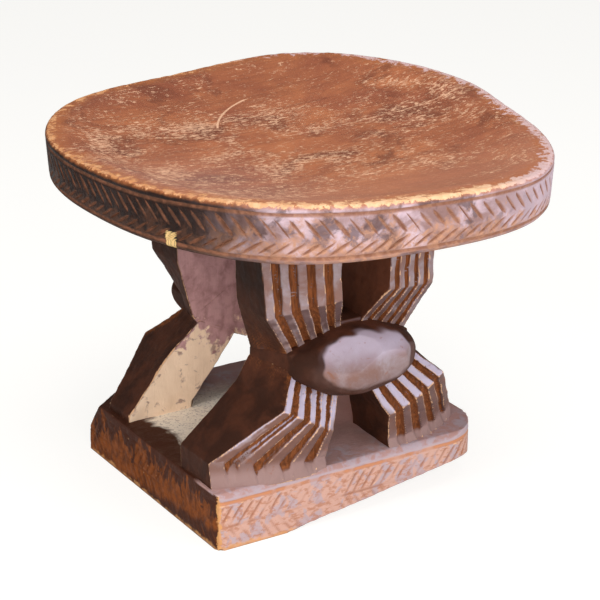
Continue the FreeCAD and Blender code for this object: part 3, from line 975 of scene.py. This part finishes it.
# %% Material of the seat
SEAT_RED = colour(158, 92, 66)
SEAT_DARK = colour(112, 62, 46)
SEAT_AMBER = colour(188, 116, 78)
SEAT_PLUM = colour(164, 116, 106)
SEAT_SANDY = colour(206, 142, 112)
SEAT_PALE = colour(240, 192, 158)
HONEY = colour(182, 110, 66)
GOLDEN = colour(216, 150, 98)
EDGE_PALE = colour(250, 210, 168)
RIM_DARK = colour(28, 13, 9)
RIM_BROWN = colour(46, 24, 16)
RIM_LILAC = colour(212, 186, 196)
RIM_MAUVE = colour(150, 116, 112)
RIM_PURPLE = colour(92, 68, 68)
RIM_TAN = colour(196, 144, 116)
CUT_PALE = colour(176, 128, 102)
CUT_BROWN = colour(146, 96, 72)
CUT_DARK = colour(104, 68, 50)
FRESH_WOOD = colour(240, 204, 140)
SCRATCH_CENTRE = (0.0766, 0.0321)
SCRATCH_RADIUS = 0.1155
SCRATCH_FROM = 0.085
SCRATCH_TO = 0.14
CRACK_DEEP = 0.034
CRACK_SLOPE = -0.03


def seat_top(recipe, place, across, deep, soft, fine):
    to_back = recipe.between(deep, 0.08, 0.19)
    spilt = recipe.group(blotches, Place=place, Scale=17, Low=0.5, High=0.66)
    # Stains, and painted shade towards the back.
    stain_and_shade = recipe.larger(recipe.times(spilt, 0.75), recipe.times(to_back, 0.3))
    drawn = recipe.group(streaks, Place=place, Stretch=(12, 130, 130), Low=0.42, High=0.62)
    # Painted plum sheen at the front left.
    front_left_sheen = recipe.times(
        recipe.between(across, 0.0, -0.13), recipe.between(deep, 0.06, -0.06))
    to_front = recipe.between(deep, -0.05, -0.17)

    crumbs = recipe.noise(recipe.stretch(place, (170, 330, 330)), 1, 6, 0.72, 0.35)
    specks = recipe.group(streaks, Place=place, Stretch=(320, 430, 430), Low=0.62, High=0.67)
    hairs = recipe.group(
        streaks, Place=recipe.turned(place, -14), Stretch=(14, 420, 420), Low=0.63, High=0.67)
    to_left = recipe.between(across, 0.1, -0.17)
    quiet = recipe.larger(recipe.between(deep, -0.1, -0.2), to_back)
    zone = recipe.plus(to_left, 0.07, recipe.noise(place, 16, 5, 0.7, 0.4))
    zone = recipe.plus(quiet, -0.1, zone)
    crumbs = recipe.plus(zone, 0.6, crumbs)
    worn = recipe.times(recipe.between(crumbs, 0.825, 0.93), 0.85)
    scattered = recipe.times(recipe.larger(specks, hairs), 0.75)
    flecks = recipe.larger(worn, scattered)
    rubbed = recipe.times(flecks, recipe.plus(fine, 0.45, 0.55))

    line = recipe.plus(across, CRACK_SLOPE, CRACK_DEEP)
    shaky = recipe.plus(recipe.noise(place, 40, 3), 0.006, line)
    on_right = recipe.between(across, 0.0, 0.05)
    crack = recipe.times(recipe.between(recipe.apart(deep, shaky), 0.0013, 0.0005), on_right)
    crack = recipe.times(crack, recipe.plus(fine, 0.7, 0.2))

    from_x = recipe.math("SUBTRACT", across, SCRATCH_CENTRE[0])
    from_y = recipe.math("SUBTRACT", deep, SCRATCH_CENTRE[1])
    squared = recipe.plus(from_x, from_x, recipe.times(from_y, from_y))
    off_arc = recipe.apart(recipe.math("SQRT", squared), SCRATCH_RADIUS)
    on_left = recipe.between(across, 0.06, 0.045)
    arc = recipe.times(recipe.between(off_arc, 0.0015, 0.0006), on_left)
    middle = (SCRATCH_FROM + SCRATCH_TO) / 2
    half = (SCRATCH_TO - SCRATCH_FROM) / 2
    arc = recipe.times(arc, recipe.math("COMPARE", deep, middle, half))
    marks = recipe.larger(crack, recipe.times(arc, 0.85))
    top = recipe.layers(
        SEAT_RED, (soft, SEAT_AMBER), (stain_and_shade, SEAT_DARK), (drawn, SEAT_DARK, 0.3),
        (front_left_sheen, SEAT_PLUM, 0.55), (to_front, SEAT_SANDY, 0.4), (rubbed, SEAT_PALE),
        (marks, SEAT_PALE))
    return top, flecks


def seat_rim(recipe, place, across, deep, cloudy, fine):
    cut = recipe.attribute("cut")
    low = recipe.attribute("low")
    # Painted light and shade: where 'lit' is high the rim takes mauve and lilac patina with painted
    # light, elsewhere dark patina with painted shade.
    slanting = recipe.plus(deep, -0.7, across)
    patches = recipe.noise(place, 26, 4, 0.6, 0.4)
    lit = recipe.between(recipe.plus(patches, 0.1, slanting), -0.045, 0.085)
    kept_dark = recipe.group(blotches, Place=place, Scale=40, Low=0.5, High=0.6)
    # Towards the right more lilac is painted, a sheen of the light.
    to_right = recipe.between(across, 0.03, 0.14)
    lower_half = recipe.plus(low, 0.3, recipe.noise(place, 60, 8, 0.78, 0.4))
    lower_half = recipe.plus(to_right, -0.1, lower_half)
    copper = recipe.times(recipe.between(lower_half, 0.6, 0.72), recipe.plus(fine, 0.6, 0.4))
    bottom = recipe.times(recipe.between(low, 0.9, 0.95), cloudy)
    rubbed = recipe.layers(
        RIM_MAUVE, (cloudy, RIM_LILAC), (kept_dark, RIM_PURPLE, 0.75), (to_right, RIM_LILAC, 0.8),
        (copper, RIM_TAN), (bottom, RIM_PURPLE, 0.8))
    bronze = recipe.between(lower_half, 0.66, 0.76)
    patina = recipe.layers(RIM_DARK, (fine, RIM_BROWN), (bronze, CUT_DARK, 0.4))
    # The cuts get a painted shaded copy and a painted lit copy of their raw colour.
    shaded_cut = recipe.mix(fine, CUT_DARK, CUT_BROWN)
    lit_cut = recipe.mix(fine, CUT_BROWN, CUT_PALE)
    raw = recipe.mix(lit, shaded_cut, lit_cut)
    return recipe.layers(patina, (lit, rubbed), (cut, raw, 0.9))


def seat_wood():
    material, recipe, shader = wood_material("seat_wood")
    place = recipe.place()
    across, deep, _ = recipe.axes(place)
    soft = recipe.group(blotches, Place=place, Scale=11, Low=0.36, High=0.66)
    cloudy = recipe.group(blotches, Place=place, Scale=26, Low=0.4, High=0.62)
    fine = recipe.group(blotches, Place=place, Scale=150, Low=0.38, High=0.66)
    top, flecks = seat_top(recipe, place, across, deep, soft, fine)
    face = seat_rim(recipe, place, across, deep, cloudy, fine)

    edge = recipe.attribute("edge")
    broad = recipe.plus(recipe.noise(place, 24, 4, 0.6), 0.9, -0.45)
    ragged = recipe.plus(recipe.noise(place, 120, 5, 0.7), 0.8, -0.4)
    # Towards the viewer the rubbed edge widens and gets a painted pale highlight, and on the right
    # a painted lilac sheen.
    towards_viewer = recipe.between(recipe.plus(deep, -1, across), -0.1, 0.2)
    soft_edge = recipe.math("ADD", edge, recipe.plus(ragged, 0.5, broad))
    honeyed = recipe.times(recipe.between(soft_edge, 0.25, 0.8), recipe.plus(fine, 0.4, 0.45))
    hard_edge = recipe.plus(broad, 0.4, edge)
    hard_edge = recipe.plus(towards_viewer, 0.14, hard_edge)
    rubbed = recipe.between(recipe.plus(ragged, 2.4, hard_edge), 0.76, 0.94)
    pale_highlight = recipe.plus(towards_viewer, 0.6, recipe.times(fine, 0.4))
    lilac_sheen_side = recipe.between(across, 0.04, 0.12)
    worn_and_lit_edge = recipe.layers(GOLDEN, (pale_highlight, EDGE_PALE), (lilac_sheen_side, RIM_LILAC, 0.8))
    broken = recipe.between(recipe.attribute("fresh"), 0.2, 0.8)
    surface = recipe.layers(
        top, (recipe.attribute("rim"), face), (honeyed, HONEY), (rubbed, worn_and_lit_edge, 0.9),
        (broken, FRESH_WOOD))

    dry = recipe.larger(recipe.larger(flecks, rubbed), recipe.attribute("cut"))
    gloss = recipe.plus(dry, 0.25, recipe.plus(fine, 0.1, 0.42))
    fibre = recipe.group(pores, Place=place, Stretch=(60, 700, 700))
    relief = recipe.plus(flecks, -0.5, fibre)
    dress(recipe, shader, surface, gloss, shine=0.22, relief=relief, depth=0.35 * MM)
    return material


hand_over(seat, "seat", seat_wood())

# %% [markdown]
# ## The plinth
# The plinth is a thick block with the same herringbone on its sides, nearly rubbed away. On an
# even skin the points of each side are pressed in along slanting lines, less where noise says
# that the wood is worn, and smooth noise makes its faces and edges wavy.

# %% The shape of the plinth
BASE_SKIN = 1.5 * MM
base_low, base_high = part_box("base")
BASE_PITCH = 9.8
BASE_LINE = 45.0
BASE_MIDDLE = 22.0
BASE_LEAN = 0.75
UPPER_END = 42.5
LOWER_END = 3
END_FADE = 3
UPPER_SLIT = 1.4
LOWER_SLIT = 0.8
SLIT_HALF = 1.9
LEAST_KEPT = 0.2


def base_cut(run, height, kept):
    upper = height > BASE_MIDDLE
    place = run - BASE_LEAN * abs(height - BASE_MIDDLE) + 0.9 * np.sin(run / 23)
    phase = (place + 0.8 * np.sin(run / 7.3 + 1)) % BASE_PITCH
    across = np.minimum(phase, BASE_PITCH - phase)
    to_end = UPPER_END - height if upper else height - LOWER_END
    end = clamped(to_end / END_FADE) * clamped(abs(height - BASE_MIDDLE) / END_FADE)
    slit = (UPPER_SLIT if upper else LOWER_SLIT) * fading(across, SLIT_HALF) * end
    upper_line = furrow(height - BASE_LINE, 1.2, 1.8)
    middle_line = furrow(height - BASE_MIDDLE, 0.9, 1.6)
    return max(slit, upper_line, middle_line) * kept


base = even_skin(solid_copy("base"), "base_carved", BASE_SKIN)
points = points_of(base)
normals = normals_of(base)
patches = wander(points, 30 * MM, 60) + 0.6 * wander(points, 8 * MM, 63)
kept_share = LEAST_KEPT + (1 - LEAST_KEPT) * smooth_step(patches, -0.3, 0.25)
sides = smooth_step(1 - np.abs(normals[:, 2]), 0.55, 0.8)
pressed = np.zeros(len(points))
for index in np.nonzero(sides > 0.05)[0]:
    x, y, z = points[index] / MM
    along_x = abs(normals[index, 1]) > abs(normals[index, 0])
    run = (x if normals[index, 1] < 0 else -x) if along_x else (y if normals[index, 0] > 0 else -y)
    pressed[index] = base_cut(run, z, kept_share[index]) * sides[index]
uneven = 0.5 * wander(points, 22 * MM, 61) + 0.35 * wander(points, 7 * MM, 62) - 0.45
under = points[:, 2] < 1.2 * MM
uneven[under] = 0
set_points(base, points + normals * ((uneven - pressed) * MM)[:, None])
sharp = standing_out(base, 3)
note(base, "cut", np.clip(pressed / 0.8, 0, 1))
note(base, "edge", smooth_step(sharp, 0.12, 0.42))
note(base, "side", sides)

# %% [markdown]
# ## The finish of the plinth
# The front is pinkish and rubbed, with lilac patina left on the bevel and in blotches, and its pink
# and lilac also carry a painted sheen of light; an orange line runs below the bevel. The left side
# and the back are dark with a rusty belt, whose upper border is ragged like flames, over a dark
# foot with rusty cuts. The front left corner and the bottom edge are rubbed golden. The top is
# pinkish lilac in front of the panels and dark along its left edge. Between the panels it is pale
# cream with specks, partly painted light from the left, and browner towards the middle, the front
# and the right, partly painted shade. The sole is plain brown.

# %% Material of the plinth
BASE_PINK = colour(212, 168, 152)
BASE_LILAC = colour(186, 167, 175)
BASE_TAN = colour(186, 126, 96)
BASE_RUST = colour(140, 75, 31)
RUST_DARK = colour(94, 50, 26)
BASE_DARK = colour(74, 40, 27)
BASE_CUT = colour(170, 112, 84)
BASE_ORANGE = colour(208, 142, 104)
CORNER_GOLD = colour(224, 164, 104)
LEDGE_PINK = colour(184, 144, 138)
LEDGE_BROWN = colour(188, 148, 142)
TOP_CREAM = colour(255, 246, 230)
TOP_SPECK = colour(146, 132, 132)
CORNER = base_low.x - base_low.y


def base_front(recipe, place, height):
    cut = recipe.attribute("cut")
    # The lilac blotches and the lilac bevel are patina that also carries a painted sheen of light.
    glaze_and_sheen = recipe.group(blotches, Place=place, Scale=62, Low=0.5, High=0.57)
    scuffed = recipe.group(streaks, Place=place, Stretch=(110, 240, 240), Low=0.5, High=0.6)
    off_line = recipe.apart(height, BASE_LINE * MM)
    on_line = recipe.times(recipe.between(off_line, 0.0026, 0.0012), cut)
    bevel_sheen = recipe.between(height, 0.0465, 0.048)
    return recipe.layers(
        BASE_PINK, (glaze_and_sheen, BASE_LILAC, 0.8), (scuffed, BASE_TAN, 0.75), (cut, BASE_CUT, 0.85),
        (on_line, BASE_ORANGE), (bevel_sheen, BASE_LILAC, 0.85))


def base_left(recipe, place, deep, height):
    cut = recipe.attribute("cut")
    flames = recipe.noise(recipe.stretch(place, (40, 62, 24)), 1, 4, 0.5, 1.1)
    below = recipe.between(recipe.plus(flames, 0.13, height), 0.107, 0.103)
    rising = recipe.plus(deep, 0.1, height)
    above = recipe.between(recipe.plus(flames, 0.02, rising), 0.014, 0.022)
    flow = recipe.group(streaks, Place=place, Stretch=(60, 120, 75), Low=0.36, High=0.58)
    rust = recipe.layers(RUST_DARK, (flow, BASE_RUST), (cut, RUST_DARK, 0.6))
    foot = recipe.mix(cut, BASE_DARK, BASE_RUST, 0.8)
    return recipe.mix(below, BASE_DARK, recipe.mix(above, foot, rust))


def base_wood():
    material, recipe, shader = wood_material("base_wood")
    place = recipe.place()
    across, deep, height = recipe.axes(place)
    soft = recipe.group(blotches, Place=place, Scale=24, Low=0.4, High=0.62)
    fine = recipe.group(blotches, Place=place, Scale=95, Low=0.42, High=0.62)
    speck = recipe.group(blotches, Place=place, Scale=420, Low=0.5, High=0.66)
    front = base_front(recipe, place, height)
    left = base_left(recipe, place, deep, height)

    past_corner = recipe.math("SUBTRACT", across, deep)
    on_left = recipe.between(past_corner, CORNER + 0.0008, CORNER - 0.0008)
    at_back = recipe.between(deep, base_high.y - 0.012, base_high.y - 0.006)
    off_corner = recipe.apart(past_corner, CORNER)
    beads = recipe.plus(recipe.noise(place, 170, 5, 0.7), -0.014, off_corner)
    at_corner = recipe.between(across, -0.13, -0.14)
    gilded = recipe.times(recipe.between(beads, -0.004, -0.0055), at_corner)
    bottom_edge = recipe.plus(recipe.noise(place, 120, 4), 0.012, height)
    rubbed_foot = recipe.between(bottom_edge, 0.0105, 0.0075)
    sides = recipe.layers(
        front, (recipe.larger(on_left, at_back), left), (gilded, CORNER_GOLD, 0.85),
        (rubbed_foot, CORNER_GOLD, 0.7))

    # Between the panels the pale cream is partly painted light from the left, and the browner
    # middle, front and right are partly painted shade.
    between_panels = recipe.between(recipe.math("ABSOLUTE", deep), 0.1, 0.06)
    to_front = recipe.between(deep, -0.03, -0.06)
    passage_shade = recipe.larger(recipe.between(across, -0.03, 0.01), to_front)
    passage = recipe.layers(TOP_CREAM, (speck, TOP_SPECK, 0.6), (passage_shade, LEDGE_BROWN))
    near_panel = recipe.times(soft, recipe.between(deep, -0.122, -0.105))
    ledge = recipe.layers(LEDGE_PINK, (fine, BASE_LILAC), (near_panel, LEDGE_BROWN))
    left_strip = recipe.between(recipe.plus(soft, 0.01, across), -0.112, -0.122)
    left_strip = recipe.times(left_strip, recipe.between(deep, -0.095, -0.08))
    underneath = recipe.between(height, 0.002, 0.001)
    sole = recipe.mix(fine, RUST_DARK, BASE_TAN)
    top = recipe.layers(
        ledge, (between_panels, passage), (left_strip, BASE_DARK), (underneath, sole))

    worn = recipe.times(recipe.attribute("edge"), recipe.noise(place, 160, 4))
    nicks = recipe.between(worn, 0.22, 0.45)
    surface = recipe.layers(top, (recipe.attribute("side"), sides), (nicks, PALE_TAN))
    gloss = recipe.plus(fine, -0.15, 0.66)
    fibre = recipe.group(pores, Place=place, Stretch=(120, 500, 500))
    marks = recipe.group(adze_marks, Place=place, Stretch=(90, 90, 90))
    relief = recipe.plus(marks, 0.3, fibre)
    dress(recipe, shader, surface, gloss, shine=0.14, relief=relief, depth=0.6 * MM)
    return material


hand_over(base, "base", base_wood())

# %% [markdown]
# ## Floor and light
# The stool stands on a plain white floor with a soft shadow. For the camera most of the floor's
# white is its own, so that the shadow stays faint, while for all other rays it is a plain white
# board. A large cool light stands at the right front, and a warmer one low at the left front,
# where it shines in under the seat between the two panels. Faces that look left get little of
# either and stay dark. A weak light high on the left reaches the plinth between the panels, and
# another hangs above the seat.

# %% The floor
FLOOR_HALF = 6.0
FLOOR_WHITE = (1.0, 0.99, 0.965, 1)
FLOOR_BOARD = (0.85, 0.85, 0.85, 1)
FLOOR_GLOW = 1.2
SHADOW_SHARE = 0.3

floor_shape = bmesh.new()
bmesh.ops.create_grid(floor_shape, x_segments=1, y_segments=1, size=FLOOR_HALF)
floor = as_object(floor_shape, "floor")
floor_white = bpy.data.materials.new("floor_white")
floor_white.use_nodes = True
tree = floor_white.node_tree
recipe = Recipe(tree)
tree.nodes.remove(tree.nodes["Principled BSDF"])
board = recipe.node("BsdfDiffuse")
board.inputs["Color"].default_value = FLOOR_BOARD
glow = recipe.node("Emission")
glow.inputs["Color"].default_value = FLOOR_WHITE
glow.inputs["Strength"].default_value = FLOOR_GLOW
seen = recipe.times(recipe.node("LightPath").outputs["Is Camera Ray"], 1 - SHADOW_SHARE)
both = recipe.node("MixShader")
recipe.feed(both.inputs[0], seen)
recipe.feed(both.inputs[1], board.outputs[0])
recipe.feed(both.inputs[2], glow.outputs[0])
recipe.feed(tree.nodes["Material Output"].inputs["Surface"], both.outputs[0])
floor.data.materials.append(floor_white)

# %% The lights
COOL = (0.88, 0.93, 1.0)
WARM = (1.0, 0.97, 0.93)
MILD = (1.0, 0.98, 0.95)
SKY_WHITE = (1, 1, 1, 1)
SKY_GLOW = 0.18


def soft_light(name, azimuth, elevation, distance, size, power, tint):
    lamp = bpy.data.lights.new(name, "AREA")
    lamp.shape = "SQUARE"
    lamp.size = size
    lamp.energy = power
    lamp.color = tint
    light = bpy.data.objects.new(name, lamp)
    scene.collection.objects.link(light)
    stand_at(light, azimuth, elevation, distance)


soft_light("key", azimuth=28, elevation=20, distance=2.0, size=1.2, power=15, tint=COOL)
soft_light("left front", azimuth=-27, elevation=18, distance=2.2, size=1.3, power=22, tint=WARM)
soft_light("high left", azimuth=-75, elevation=40, distance=2.0, size=0.8, power=12, tint=WARM)
soft_light("overhead", azimuth=0, elevation=78, distance=1.7, size=1.2, power=16, tint=MILD)

sky = bpy.data.worlds.new("sky")
scene.world = sky
sky.use_nodes = True
shine = sky.node_tree.nodes["Background"].inputs
shine["Color"].default_value = SKY_WHITE
shine["Strength"].default_value = SKY_GLOW
